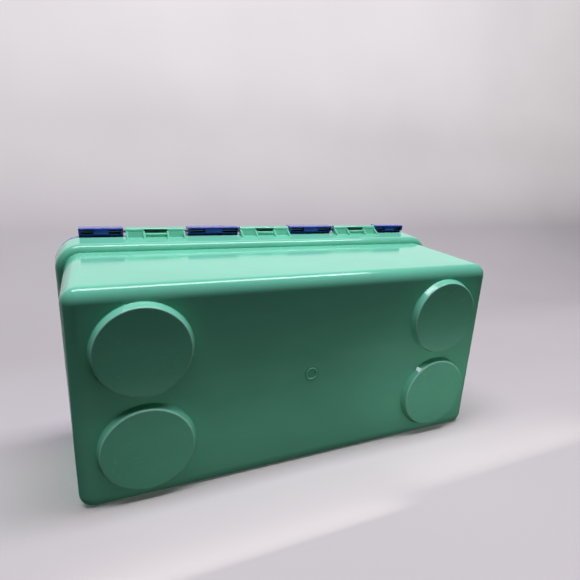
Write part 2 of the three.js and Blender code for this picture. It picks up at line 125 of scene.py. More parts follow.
POCKET_HALF_X = 57.5
POCKET_FRONT_Y, POCKET_BACK_Y = -34.0, 17.4
POCKET_FLOOR_Z = 129.5
POCKET_CORNER = 3.0
POCKET_ROUND = 0.7                    # rounding of the pocket's mouth
HANDLE = PIVOTS["handle_fold"]
HANDLE_HALF_X = 55.0
HANDLE_ARM = 9.0
HANDLE_THICK = 7.0
HANDLE_FRONT_Y = -24.0
GRIP_DEPTH = 12.0
HANDLE_CORNER = 10.0
HANDLE_INNER_CORNER = 6.0
HANDLE_BEVEL = 1.8
HANDLE_HEEL_R = 5.0
BOSS_HALF = 5.0                       # boss in the cover round the outer end of a handle pin ...
BOSS_END = HANDLE_PIN_HIGH.x + 2.0    # ... and where it ends along X

LATCH = PIVOTS["latch_right_swing"]
LATCH_BARREL_R = 3.0
LATCH_HALF = 13.0
LATCH_INSIDE_Y = LATCH.y - 0.5
LATCH_OUTSIDE_Y = LATCH.y - LATCH_BARREL_R
LATCH_TAB_Y = -(HINGE.y + COVER_KNUCKLE_R)     # the lifting tab reaches as far as the hinge
LATCH_TAB_THICK = 1.3
LATCH_TAB_BACK = 0.6                  # the tab leaves the plate this far outside its inner face
LATCH_TAB_Z = (98.2, 99.5, 100.5, 104.0)
TOOTH_Y = (-86.8, -85.8)
TOOTH_Z = (104.4, 106.6, 107.7)
RIDGE_R = 0.5                         # finger ridges on the plate's outside
RIDGE_OUT = 0.05                      # their axes lie this far outside its face
RIDGE_INSET = 3.0
RIDGE_Z = (105.5, 107.7, 109.9)
EAR_R = 3.8
EAR_THICK = 4.0
CATCH_HALF = 12.0
CATCH_Y = LATCH.y + 0.1
CATCH_SLOPE_Y = 4.4
CATCH_Z = (108.0, 110.0, 114.0)

CORNER_STEPS = 24
ROUND_STEPS = 96
BAR_STEPS = 40
FILLET_STEPS = 4
ROUNDED_ANGLE = 30                    # degrees: edges sharper than this are rounded ...
SHADING_ANGLE = 34                    # ... and shading breaks at edges sharper than this


# ---- outlines ----
def arc(centre_u, centre_v, radius_u, radius_v, start, end, steps):
    """Points of an elliptical arc, angles in degrees."""
    angles = (math.radians(start + (end - start) * i / steps) for i in range(steps + 1))
    return [(centre_u + radius_u * math.cos(a), centre_v + radius_v * math.sin(a)) for a in angles]


def round_arc(centre_u, centre_v, radius, start, end, steps):
    """Points of a circular arc, angles in degrees."""
    return arc(centre_u, centre_v, radius, radius, start, end, steps)


def circle(centre_u, centre_v, radius, steps):
    """Points once round a circle, without the first one repeated."""
    return round_arc(centre_u, centre_v, radius, 0, 360, steps)[:-1]


def rounded_ring(half_x, half_y, radius, z, middle_y=0.0):
    """A rounded rectangle at one height, anticlockwise from above."""
    points = []
    for quarter, (sign_x, sign_y) in enumerate([(1, 1), (-1, 1), (-1, -1), (1, -1)]):
        centre = (sign_x * (half_x - radius), middle_y + sign_y * (half_y - radius))
        corner = round_arc(*centre, radius, quarter * 90, quarter * 90 + 90, CORNER_STEPS)
        points += [Vector((x, y, z)) for x, y in corner]
    return points


def plan_ring(outset, z):
    """The ring that lies outset millimetres outside the rectangle of corner centres."""
    return rounded_ring(CORNER_X + outset, CORNER_Y + outset, outset, z)


def round_ring(radius, z, x=0.0, y=0.0):
    return [Vector((px, py, z)) for px, py in circle(x, y, radius, ROUND_STEPS)]


# ---- solids ----
def new_object(name, verts, faces):
    mesh = bpy.data.meshes.new(name)
    mesh.from_pydata([v * MM for v in verts], [], faces)
    mesh.update()
    made = bpy.data.objects.new(name, mesh)
    bpy.context.scene.collection.objects.link(made)
    return made


def loft(rings):
    """A closed solid through rings of equal length, listed in the direction they turn about."""
    count = len(rings[0])
    verts = [point for ring in rings for point in ring]
    last = (len(rings) - 1) * count
    faces = [list(range(count))[::-1], list(range(last, last + count))]
    for level in range(0, last, count):
        for i in range(count):
            after = (i + 1) % count
            faces.append([level + i, level + after, level + count + after, level + count + i])
    return new_object("solid", verts, faces)


def turned(profile, x=0.0, y=0.0):
    """A solid of revolution about a vertical axis, from (radius, z) points listed upwards."""
    return loft([round_ring(radius, z, x, y) for radius, z in profile])


def bar(radius, x0, x1, y, z, edge=0.4):
    """A round bar along X with rounded ends."""
    start = [(x0 + edge - edge * math.cos(t), radius - edge + edge * math.sin(t))
             for t in (math.radians(90 * i / FILLET_STEPS) for i in range(FILLET_STEPS + 1))]
    profile = start + [(x0 + x1 - x, r) for x, r in reversed(start)]
    rings = [[Vector((x, py, pz)) for py, pz in circle(y, z, r, BAR_STEPS)] for x, r in profile]
    return loft(rings)


def slab(outline, x0, x1, edge=0.4, segments=3):
    """An outline of (y, z) points pushed along X, with its edges rounded."""
    count = len(outline)
    verts = [Vector((x, y, z)) for x in (x0, x1) for y, z in outline]
    area = sum(a[0] * b[1] - b[0] * a[1] for a, b in zip(outline, outline[1:] + outline[:1]))
    order = list(range(count)) if area > 0 else list(range(count))[::-1]
    faces = [order[::-1], [i + count for i in order]]
    for a, b in zip(order, order[1:] + order[:1]):
        faces.append([a, b, b + count, a + count])
    made = new_object("solid", verts, faces)
    if edge > 0:
        round_edges(made, edge, segments)
    return made


def block(low, high, edge=0.4):
    outline = [(low[1], low[2]), (high[1], low[2]), (high[1], high[2]), (low[1], high[2])]
    return slab(outline, low[0], high[0], edge)


def round_edges(made, width, segments):
    """Rounds the edges of a solid that are sharper than ROUNDED_ANGLE."""
    shape = bmesh.new()
    shape.from_mesh(made.data)
    limit = math.radians(ROUNDED_ANGLE)
    sharp = [e for e in shape.edges if e.calc_face_angle(0) > limit]
    bmesh.ops.bevel(shape, geom=sharp, offset=width * MM, segments=segments, profile=0.5,
                    affect="EDGES", clamp_overlap=True)
    shape.to_mesh(made.data)
    shape.free()


def boolean(made, others, operation):
    """Joins others to made, or cuts them from it, and removes them."""
    for other in others:
        modifier = made.modifiers.new("boolean", "BOOLEAN")
        modifier.operation = operation
        modifier.solver = "MANIFOLD"
        modifier.object = other
        evaluated = made.evaluated_get(bpy.context.evaluated_depsgraph_get())
        result = bpy.data.meshes.new_from_object(evaluated)
        made.modifiers.clear()
        made.data = result
        bpy.data.objects.remove(other)
    return made


def join(made, *others):
    return boolean(made, others, "UNION")


def cut(made, *others):
    return boolean(made, others, "DIFFERENCE")


# ---- materials ----
class Nodes:
    """Short helpers over one material's node tree."""

    def __init__(self, name):
        self.material = bpy.data.materials.new(name)
        self.material.use_nodes = True
        self.tree = self.material.node_tree
        self.shader = self.tree.nodes["Principled BSDF"]
        self.place = self.tree.nodes.new("ShaderNodeTexCoord").outputs["Object"]

    def link(self, source, target):
        self.tree.links.new(source, target)

    def new(self, kind, inputs=(), **settings):
        made = self.tree.nodes.new(kind)
        for key, value in settings.items():
            setattr(made, key, value)
        for key, value in dict(inputs).items():
            if isinstance(value, bpy.types.NodeSocket):
                self.link(value, made.inputs[key])
            else:
                made.inputs[key].default_value = value
        return made

    def stretched(self, scale, rotation=(0, 0, 0)):
        mapping = self.new("ShaderNodeMapping", {"Vector": self.place, "Scale": scale, "Rotation": rotation})
        return mapping.outputs["Vector"]

    def noise(self, scale, detail=2.0, vector=None, distortion=0.0):
        made = self.new("ShaderNodeTexNoise", {
            "Vector": vector or self.place, "Scale": scale, "Detail": detail, "Distortion": distortion})
        return made.outputs["Fac"]

    def ramp(self, value, from_low, from_high, to_low=0.0, to_high=1.0):
        made = self.new("ShaderNodeMapRange", {
            "Value": value, "From Min": from_low, "From Max": from_high, "To Min": to_low, "To Max": to_high})
        return made.outputs["Result"]

    def math(self, operation, a, b=0.0):
        return self.new("ShaderNodeMath", {0: a, 1: b}, operation=operation).outputs[0]

    def mix(self, factor, a, b):
        made = self.new("ShaderNodeMix", data_type="RGBA")
        for socket, value in ((made.inputs["Factor"], factor), (made.inputs[6], a), (made.inputs[7], b)):
            if isinstance(value, bpy.types.NodeSocket):
                self.link(value, socket)
            else:
                socket.default_value = value
        return made.outputs[2]

    def tint(self, base, mask, share, colour):
        """base with colour over it where the mask is, at most by share."""
        return self.mix(self.math("MULTIPLY", mask, share), base, colour)

    def raised(self, value, mask, amount):
        return self.math("ADD", value, self.math("MULTIPLY", mask, amount))

    def bump(self, height, strength, distance, normal=None):
        inputs = {"Height": height, "Strength": strength, "Distance": distance}
        if normal is not None:
            inputs["Normal"] = normal
        return self.new("ShaderNodeBump", inputs).outputs["Normal"]


def shade(colour, factor):
    return tuple(min(1.0, c * factor) for c in colour[:3]) + (1.0,)


def worn_edges(n, edge_normal):
    """Patches along the edges, where the rounded normal turns away from the flat one."""
    flat_normal = n.new("ShaderNodeNewGeometry").outputs["Normal"]
    facing = n.new("ShaderNodeVectorMath", {0: edge_normal, 1: flat_normal}, operation="DOT_PRODUCT")
    patches = n.ramp(n.noise(160.0, 4.0), 0.42, 0.62)
    return n.math("MULTIPLY", n.ramp(facing.outputs["Value"], 0.995, 0.9), patches)


def dust_specks(n):
    cells = n.new("ShaderNodeTexVoronoi", {"Vector": n.place, "Scale": 130.0, "Randomness": 1.0})
    size = n.ramp(n.noise(40.0, 2.0), 0.55, 0.75, 0.0, 0.09)
    return n.math("LESS_THAN", cells.outputs["Distance"], size)


def standing_wear_and_edge_highlight(n, base, rough, pale, below):
    """Scuff strokes under a height in metres, and a pale line round the edge of the feet, partly wear and
    partly a painted highlight of the edge.
    """
    height = n.new("ShaderNodeSeparateXYZ", {"Vector": n.place}).outputs["Z"]
    standing = n.ramp(height, below * 1.6, below)
    strokes = n.noise(75.0, 6.0, n.stretched((1.0, 5.0, 1.0), (0.0, 0.0, 0.7)), distortion=2.5)
    cross = n.noise(95.0, 6.0, n.stretched((5.0, 1.0, 1.0), (0.0, 0.0, 0.2)), distortion=2.0)
    marks = n.math("MAXIMUM", n.ramp(strokes, 0.64, 0.76), n.ramp(cross, 0.66, 0.78))
    scuffs = n.math("MULTIPLY", standing, marks)
    # a pale line round the feet's face edge: partly wear, partly a painted highlight of the edge
    start, full, fading, end = (z * MM for z in WEAR_AND_HIGHLIGHT_LINE_Z)
    wear_and_highlight_line = n.math("MULTIPLY", n.ramp(height, start, full), n.ramp(height, end, fading))
    base = n.tint(n.tint(base, scuffs, 0.10, pale), wear_and_highlight_line, 0.5, pale)
    return base, n.raised(n.raised(rough, scuffs, 0.25), standing, 0.12)


def moulded_plastic(name, colour, pale, roughness, scuff_below=None):
    """Glossy moulded plastic: faint flow marks, fine scratches, dust specks and worn edges.
    scuff_below is the height in metres under which the surface is scuffed from standing on it."""
    n = Nodes(name)
    flow = n.noise(9.0, 3.0, n.stretched((1.0, 2.2, 1.6)), distortion=0.6)
    base = n.mix(n.ramp(flow, 0.3, 0.7), shade(colour, 0.93), shade(colour, 1.05))
    edge_normal = n.new("ShaderNodeBevel", {"Radius": 0.45 * MM}, samples=4).outputs["Normal"]
    base = n.tint(base, worn_edges(n, edge_normal), 0.35, pale)
    scratch_lines = n.noise(60.0, 5.0, n.stretched((0.6, 9.0, 9.0), (0.3, 0.5, 0.4)), distortion=1.5)
    scratches = n.ramp(scratch_lines, 0.66, 0.72)
    dust = dust_specks(n)
    base = n.tint(base, dust, 0.45, pale)
    rough = n.ramp(n.noise(35.0, 4.0), 0.3, 0.7, roughness * 0.85, roughness * 1.2)
    rough = n.raised(n.raised(rough, scratches, 0.10), dust, 0.35)
    if scuff_below is not None:
        base, rough = standing_wear_and_edge_highlight(n, base, rough, pale, scuff_below)
    waviness = n.bump(n.noise(22.0, 2.0), 0.10, 0.0005, edge_normal)
    grain = n.bump(n.noise(2600.0, 2.0), 0.10, 0.00003, waviness)
    marked = n.bump(n.math("MULTIPLY", scratches, -1.0), 0.25, 0.00003, grain)
    n.link(base, n.shader.inputs["Base Color"])
    n.link(rough, n.shader.inputs["Roughness"])
    n.link(marked, n.shader.inputs["Normal"])
    n.shader.inputs["IOR"].default_value = 1.49
    return n.material


def drawn_steel(name):
    """Drawn wire: fine rings round the rod, dull grey with darker patches."""
    n = Nodes(name)
    rings = n.noise(900.0, 3.0, n.stretched((1.0, 0.05, 0.05)))
    patches = n.noise(60.0, 4.0)
    base = n.mix(n.ramp(patches, 0.35, 0.7), (0.16, 0.15, 0.14, 1), (0.30, 0.29, 0.28, 1))
    n.link(base, n.shader.inputs["Base Color"])
    n.link(n.ramp(rings, 0.3, 0.7, 0.28, 0.45), n.shader.inputs["Roughness"])
    n.link(n.bump(rings, 0.3, 0.00002), n.shader.inputs["Normal"])
    n.shader.inputs["Metallic"].default_value = 1.0
    return n.material


WEAR_AND_HIGHLIGHT_LINE_Z = (0.02, 0.1, 0.45, 0.7)  # the pale foot-edge line, partly wear and partly a painted highlight, starts, is full, fades and ends at these heights
MINT = (0.20, 0.74, 0.50)
MINT_PALE = (0.62, 0.92, 0.80, 1)
BLUE = (0.035, 0.062, 0.45)
BLUE_PALE = (0.35, 0.40, 0.75, 1)
TUB_PLASTIC = moulded_plastic("mint_plastic", MINT, MINT_PALE, 0.10, scuff_below=0.0008)
COVER_PLASTIC = moulded_plastic("blue_plastic", BLUE, BLUE_PALE, 0.14)
TRIM_PLASTIC = moulded_plastic("mint_trim_plastic", MINT, MINT_PALE, 0.24)
STEEL = drawn_steel("drawn_steel")
SLOT_MATERIALS = {"tub_plastic": TUB_PLASTIC, "cover_plastic": COVER_PLASTIC,
                  "trim_plastic": TRIM_PLASTIC, "pin_steel": STEEL}
NODE_SLOTS = {part["node"]: part["material_slot"] for part in frame["record"]["subparts"]}
NODE_BODIES = {node: body for body, nodes in frame["record"]["behaviour"]["bodies"].items() for node in nodes}


def place(made, node, name):
    """Names a finished solid, gives it its finish and lets it stand for its CAD node."""
    made.name = name
    made.data.materials.clear()
    made.data.materials.append(SLOT_MATERIALS[NODE_SLOTS[node]])
    made.data.polygons.foreach_set("use_smooth", [True] * len(made.data.polygons))
    made.data.set_sharp_from_angle(angle=math.radians(SHADING_ANGLE))
    normals = made.modifiers.new("even_normals", "WEIGHTED_NORMAL")
    normals.keep_sharp = True
    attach(made, NODE_BODIES[node])
    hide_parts(node)


# ---- the tub ----
def tub_wall():
    """Floor, walls and flared rim as one shell, from the underside round to the inside floor."""
    edge_start = (BASE_OUTSET - BASE_EDGE_REACH, BASE_Z + BASE_EDGE)
    edge = arc(*edge_start, BASE_EDGE_REACH, BASE_EDGE, -90, 0, 14)
    flare = LIP_OUTSET - WALL_TOP_OUTSET
    lip = arc(WALL_TOP_OUTSET, LIP_FULL_Z, flare, LIP_FULL_Z - LIP_START_Z, -90, 0, 16)
    rim_outer = round_arc(RIM_OUTSET - RIM_ROUND, PARTING_Z - RIM_ROUND, RIM_ROUND, 0, 90, 4)
    rim_inner = round_arc(RIM_OUTSET - WALL + RIM_ROUND, PARTING_Z - RIM_ROUND, RIM_ROUND, 90, 180, 4)
    inner_lip = arc(WALL_TOP_OUTSET - WALL, LIP_FULL_Z, flare, LIP_FULL_Z - LIP_START_Z - WALL, 0, -90, 16)
    inner_edge = arc(*edge_start, BASE_EDGE_REACH - WALL, BASE_EDGE - WALL, 0, -90, 12)
    profile = edge + lip + rim_outer + rim_inner + inner_lip + inner_edge
    return loft([plan_ring(*point) for point in profile])


def foot(x, y):
    """A raised disc with a soft face edge and a small fillet where it meets the floor."""
    root_r = FOOT_BASE_R + FOOT_FILLET
    face = round_arc(FOOT_FACE_R - FOOT_EDGE, FOOT_EDGE, FOOT_EDGE, -90, 0, 6)
    root = round_arc(root_r, BASE_Z - FOOT_FILLET, FOOT_FILLET, 180, 90, 5)
    return turned(face + root + [(root_r, BASE_Z + WALL / 2)], x, y)


def foot_well(x, y):
    """The hollow above a foot, seen from inside the tub."""
    radius = FOOT_FACE_R - WALL
    mouth_r = radius + FOOT_WELL_MOUTH
    floor_z = BASE_Z + WALL
    bottom = round_arc(radius - 1, WALL + 1, 1, -90, 0, 5)
    flare = round_arc(mouth_r, floor_z - FOOT_WELL_MOUTH, FOOT_WELL_MOUTH, 180, 90, 5)
    return turned(bottom + flare + [(mouth_r, floor_z + 1)], x, y)


def gate_mark(body):
    """The moulding gate: a shallow dish with a raised ring in it."""
    lip = round_arc(GATE_R, BASE_Z + GATE_SLOPE, GATE_SLOPE, -90, -150, 5)
    dish = [(GATE_R, BASE_Z - 1)] + lip + [(GATE_R - GATE_SLOPE, BASE_Z + GATE_DEPTH)]
    body = cut(body, turned(dish))
    inner, outer = GATE_RING
    middle, half = (inner + outer) / 2, (outer - inner) / 2
    crown = BASE_Z - GATE_RING_PROUD + half
    outside = round_arc(middle, crown, half, -90, 0, 8) + [(outer, BASE_Z + WALL / 2)]
    inside = [(0.2, crown - half - 1), (middle, crown - half - 1)]
    inside += round_arc(middle, crown, half, -90, -180, 8) + [(inner, BASE_Z + WALL)]
    return join(body, cut(turned(outside), turned(inside)))


def hinge_group(ribs):
    """Two closed knuckles with gusset ribs, and between them a stretch that is open from below,
    where the rod shows over a rounded shelf."""
    first, second, third, fourth = ribs
    half = RIB_THICK / 2
    root_y = SKIN_Y - 1
    top_z = HINGE.z - GAP
    gusset = [(root_y, RIB_FOOT_Z - 1), (CORNER_Y + RIB_FOOT_OUTSET + RIB_PROUD, RIB_FOOT_Z),
              (HINGE.y + RIB_PROUD, HINGE.z - RIB_TIP), (HINGE.y, top_z), (root_y, top_z)]
    closed = [(root_y, SHELF_Z), (CORNER_Y + RIM_OUTSET, SHELF_Z), (HINGE.y, HINGE.z - TUB_KNUCKLE_R),
              (HINGE.y, top_z), (root_y, top_z)]
    face_y = HINGE.y + SHELF_FACE
    edge = round_arc(face_y - SHELF_EDGE, SHELF_Z + SHELF_EDGE, SHELF_EDGE, -90, 0, 8)
    shelf = [(root_y, SHELF_Z)] + edge + [(face_y, top_z), (root_y, top_z)]
    open_y, open_z = TUB_WINDOW
    window = block((second, root_y - 1, RIB_FOOT_Z), (third, HINGE.y + open_y, HINGE.z + open_z), 0)
    knuckles = join(bar(TUB_KNUCKLE_R, first - half, fourth + half, HINGE.y, HINGE.z),
                    slab(closed, first - half, fourth + half, 0.3))
    return join(cut(knuckles, window), slab(shelf, second, third, 0),
                *[slab(gusset, x - half, x + half, 0.35) for x in ribs])


def catch_ledge(x):
    """The ledge on the rim that a closed latch's tooth holds from below."""
    low, nose, high = CATCH_Z
    slope = [(CATCH_Y + CATCH_SLOPE_Y, high), (CATCH_Y, nose)]
    outline = [(-SKIN_Y, low), (-SKIN_Y, high)] + slope + [(CATCH_Y, low)]
    return slab(outline, x - CATCH_HALF, x + CATCH_HALF, 0.3)


def pin_bore(x0, x1, y, z):
    return bar(PIN_R + GAP, x0, x1, y, z, 0.1)


def make_tub():
    feet = [(sx * FOOT_X, sy * FOOT_Y) for sx in (1, -1) for sy in (1, -1)]
    body = join(tub_wall(), *[foot(x, y) for x, y in feet])
    body = cut(body, *[foot_well(x, y) for x, y in feet])
    body = gate_mark(body)
    body = join(body, *[hinge_group(ribs) for ribs in TUB_RIBS], catch_ledge(LATCH.x), catch_ledge(-LATCH.x))
    reach = COVER_HIGH.x
    return cut(body, pin_bore(-reach, reach, HINGE.y, HINGE.z))


# ---- the cover ----
def cover_profile(inset, steps):
    shoulder_r = SHOULDER_R - inset
    return round_arc(RIM_OUTSET - SHOULDER_R - SKIRT_DRAFT, SHOULDER_START_Z, shoulder_r, 0, 90, steps)


def cover_outside():
    """Skirt, shoulder and the raised field, whose edge rises in FIELD_STEP's (out, up) points."""
    skirt = round_arc(RIM_OUTSET - SKIRT_ROUND, COVER_Z + SKIRT_ROUND, SKIRT_ROUND, -90, 0, 4)
    rings = [plan_ring(*point) for point in skirt + cover_profile(0, 16)]
    half_x, half_y = FIELD_HALF
    for out, up in FIELD_STEP:
        rings.append(rounded_ring(half_x + out, half_y + out, FIELD_CORNER + out, SHOULDER_Z + up))
    return loft(rings)


def cover_inside():
    inner = [(RIM_OUTSET - WALL, COVER_Z - 1), (RIM_OUTSET - WALL, COVER_Z)] + cover_profile(WALL, 12)
    half_x, half_y = (half - WALL - FIELD_DRAFT for half in FIELD_HALF)
    corner = FIELD_CORNER - WALL - FIELD_DRAFT
    under_z = SHOULDER_Z - WALL
    rings = [plan_ring(*point) for point in inner]
    rings += [rounded_ring(half_x + 0.8, half_y + 0.8, corner + 0.8, under_z),
              rounded_ring(half_x, half_y, corner, under_z + 0.8),
              rounded_ring(half_x, half_y, corner, TOP_Z - WALL)]
    return loft(rings)


def pocket(grow):
    """The handle's pocket; grow thickens it into the shell that carries it."""
    half_x = POCKET_HALF_X + grow
    half_y = (POCKET_BACK_Y - POCKET_FRONT_Y) / 2 + grow
    middle_y = (POCKET_BACK_Y + POCKET_FRONT_Y) / 2
    corner = POCKET_CORNER + grow
    floor = POCKET_FLOOR_Z - grow
    levels = [(point[0] - 1.0, point[1]) for point in round_arc(0, floor + 1, 1, -90, 0, 5)]
    mouth_z = TOP_Z - POCKET_ROUND
    levels += [(0.0, mouth_z)]
    if grow == 0:
        levels += [(POCKET_ROUND + u, v) for u, v in round_arc(0, mouth_z, POCKET_ROUND, 180, 90, 4)]
    levels += [(levels[-1][0], TOP_Z + 1)]
    return loft([rounded_ring(half_x + out, half_y + out, corner + out, z, middle_y) for out, z in levels])


def handle_bosses():
    low_z, high_z = HANDLE.z - BOSS_HALF, TOP_Z - 0.5
    return [block((min(POCKET_HALF_X * s, BOSS_END * s), HANDLE.y - BOSS_HALF, low_z),
                  (max(POCKET_HALF_X * s, BOSS_END * s), HANDLE.y + BOSS_HALF, high_z), 0.4) for s in (1, -1)]


def locating_lip():
    """The lip that stands down inside the tub's rim when the cover is closed."""
    low = LOCATING_LIP_Z
    outset = RIM_OUTSET - WALL - LOCATING_LIP_PLAY
    top = COVER_Z + LOCATING_LIP_ROOT
    inside = outset - LOCATING_LIP_THICK
    outer = [(outset - 0.5, low), (outset - 0.15, low + 0.3), (outset, low + 1),
             (outset, COVER_Z), (outset + 1, COVER_Z), (outset + 1, top)]
    inner = [(inside + 0.3, low - 0.5), (inside, low + 0.5), (inside, top + 1)]
    return cut(loft([plan_ring(*p) for p in outer]), loft([plan_ring(*p) for p in inner]))


def cover_knuckle(x0, x1):
    """A barrel, fuller at its lower outer edge, strapped to the skirt above, with two
    pockets from below on each side of a solid middle block."""
    flat = COVER_KNUCKLE_R - HEEL_EDGE
    heel = [(HINGE.y, HINGE.z), (HINGE.y, HINGE.z - COVER_KNUCKLE_R)]
    heel += round_arc(HINGE.y + flat, HINGE.z - flat, HEEL_EDGE, -90, 0, 8)
    heel += [(HINGE.y + COVER_KNUCKLE_R, HINGE.z)]
    face_y = HINGE.y + COVER_KNUCKLE_R
    strap_top = HINGE.z + STRAP_RISE
    strap = [(SKIN_Y - 1, COVER_Z), (face_y, COVER_Z), (face_y, HINGE.z + STRAP_FULL),
             (SKIN_Y + 1, strap_top), (SKIN_Y - 1, strap_top)]
    block_half = (x1 - x0) * KNUCKLE_BLOCK / 2
    middle = (x0 + x1) / 2
    knuckle = join(bar(COVER_KNUCKLE_R, x0, x1, HINGE.y, HINGE.z),
                   slab(heel, x0, x1, 0.3), slab(strap, x0, x1, 0.4))
    windows = [(x0 + WINDOW_WALL, middle - block_half), (middle + block_half, x1 - WINDOW_WALL)]
    return cut(knuckle, *[block((a, HINGE.y - WINDOW_HALF_Y, HINGE.z - WINDOW_DEPTH),
                                (b, HINGE.y + WINDOW_HALF_Y, COVER_Z), 0) for a, b in windows])


def latch_ears(centre):
    """The two ears on the skirt that hold a latch's pin."""
    skirt_y = -SKIN_Y
    nose = round_arc(LATCH.y, LATCH.z, EAR_R, -90, -270, 16)
    outline = [(skirt_y + 1, LATCH.z - EAR_R - 1)] + nose + [(skirt_y + 1, LATCH.z + EAR_R)]
    start = LATCH_HALF + GAP
    return [slab(outline, centre + start, centre + start + EAR_THICK, 0.4),
            slab(outline, centre - start - EAR_THICK, centre - start, 0.4)]


def make_cover():
    shell = cut(cover_outside(), cut(cover_inside(), pocket(WALL), *handle_bosses()))
    shell = cut(join(shell, locating_lip()), pocket(0))
    shell = join(shell, *[cover_knuckle(*ends) for ends in COVER_KNUCKLES],
                 *latch_ears(LATCH.x), *latch_ears(-LATCH.x))
    bores = [pin_bore(-PIN_END - GAP, PIN_END + 4, HINGE.y, HINGE.z)]
    reach = LATCH_HALF + EAR_THICK + 2
    bores += [pin_bore(s * LATCH.x - reach, s * LATCH.x + reach, LATCH.y, LATCH.z) for s in (1, -1)]
    start, end = HANDLE_PIN_LOW.x - 1, HANDLE_PIN_HIGH.x + GAP
    bores += [pin_bore(min(s * start, s * end), max(s * start, s * end), HANDLE.y, HANDLE.z) for s in (1, -1)]
    return cut(shell, *bores)


# ---- handle, latches, pins ----
def handle_outline():
    """The bail seen from above, its two arms ending at the pivot."""
    outer, inner = HANDLE_HALF_X, HANDLE_HALF_X - HANDLE_ARM
    front_y = HANDLE_FRONT_Y + HANDLE_CORNER
    back_y = HANDLE_FRONT_Y + GRIP_DEPTH + HANDLE_INNER_CORNER
    outline = [(-outer, HANDLE.y)]
    for side, start in ((-1, 180), (1, 270)):
        x = side * (outer - HANDLE_CORNER)
        outline += round_arc(x, front_y, HANDLE_CORNER, start, start + 90, 10)
    outline += [(outer, HANDLE.y), (inner, HANDLE.y)]
    for side, start in ((1, 0), (-1, -90)):
        x = side * (inner - HANDLE_INNER_CORNER)
        outline += round_arc(x, back_y, HANDLE_INNER_CORNER, start, start - 90, 8)
    return outline + [(-inner, HANDLE.y)]


def make_handle():
    inner = HANDLE_HALF_X - HANDLE_ARM
    half = HANDLE_THICK / 2
    bail = slab(handle_outline(), -half, half, HANDLE_BEVEL, 5)
    # the slab lies in Y-Z along X; turn it flat, so that its outline lies in X-Y
    turn = Matrix(((0, 1, 0, 0), (0, 0, 1, 0), (1, 0, 0, HANDLE.z * MM), (0, 0, 0, 1)))
    bail.data.transform(turn)
    heels = [bar(HANDLE_HEEL_R, a, b, HANDLE.y, HANDLE.z, 0.6)
             for a, b in ((inner, HANDLE_HALF_X), (-HANDLE_HALF_X, -inner))]
    return cut(join(bail, *heels), pin_bore(-HANDLE_HALF_X - 1, HANDLE_HALF_X + 1, HANDLE.y, HANDLE.z))


def latch_outline():
    """The plate in the Y-Z plane, its lifting tab turned outwards below and its tooth inwards."""
    tip_z, bend_z, tab_z, plate_z = LATCH_TAB_Z
    tooth_in_y, tooth_out_y = TOOTH_Y
    low_z, nose_z, high_z = TOOTH_Z
    outside = [(LATCH_OUTSIDE_Y, LATCH.z), (LATCH_OUTSIDE_Y, plate_z)]
    tab = [(LATCH_TAB_Y, bend_z), (LATCH_TAB_Y + LATCH_TAB_THICK, tip_z),
           (LATCH_INSIDE_Y - LATCH_TAB_BACK, tab_z)]
    tooth = [(LATCH_INSIDE_Y, low_z), (tooth_out_y, low_z), (tooth_out_y, nose_z),
             (tooth_in_y, high_z), (LATCH_INSIDE_Y, high_z)]
    return outside + tab + tooth + [(LATCH_INSIDE_Y, LATCH.z)]


def make_latch(centre):
    start, end = centre - LATCH_HALF, centre + LATCH_HALF
    latch = join(slab(latch_outline(), start, end, 0.5),
                 bar(LATCH_BARREL_R, start, end, LATCH.y, LATCH.z, 0.5))
    ridges = [bar(RIDGE_R, start + RIDGE_INSET, end - RIDGE_INSET, LATCH_OUTSIDE_Y - RIDGE_OUT, z, 0.3)
              for z in RIDGE_Z]
    return cut(join(latch, *ridges), pin_bore(start - 1, end + 1, LATCH.y, LATCH.z))


def make_pin(node):
    low, high = (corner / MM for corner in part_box(node))
    return bar(PIN_R, low.x, high.x, (low.y + high.y) / 2, (low.z + high.z) / 2, 0.35)


place(make_tub(), "tub", "tub_moulding")
place(make_cover(), "cover", "cover_moulding")
place(make_handle(), "handle", "bail_handle")
for side, sign in (("right", 1), ("left", -1)):
    place(make_latch(sign * LATCH.x), f"latch_{side}", f"snap_latch_{side}")
for pin in ("hinge_pin", "handle_pin_right", "handle_pin_left", "latch_pin_right", "latch_pin_left"):
    place(make_pin(pin), pin, pin.replace("pin", "rod"))

# ---- camera: behind and below the box, which lies on its front wall ----
EYE = Vector((0.13189, 0.14495, -0.24711))
LOOK = Vector((-0.38790, -0.27839, 0.87865))
UP = Vector((-0.06581, 0.95923, 0.27486))
FOCAL_SHARE = 430 / 580               # focal length over picture width
SENSOR = 36.0


def add_camera():
    back = -LOOK.normalized()
    right = UP.cross(back).normalized()
    up = back.cross(right)
    made = bpy.data.objects.new("camera", bpy.data.cameras.new("camera"))
    made.matrix_world = Matrix((right, up, back)).transposed().to_4x4()
    made.matrix_world.translation = EYE
    made.data.sensor_width = SENSOR
    made.data.lens = SENSOR * FOCAL_SHARE
    made.data.clip_start = 0.01
    bpy.context.scene.collection.objects.link(made)
    bpy.context.scene.camera = made


add_camera()

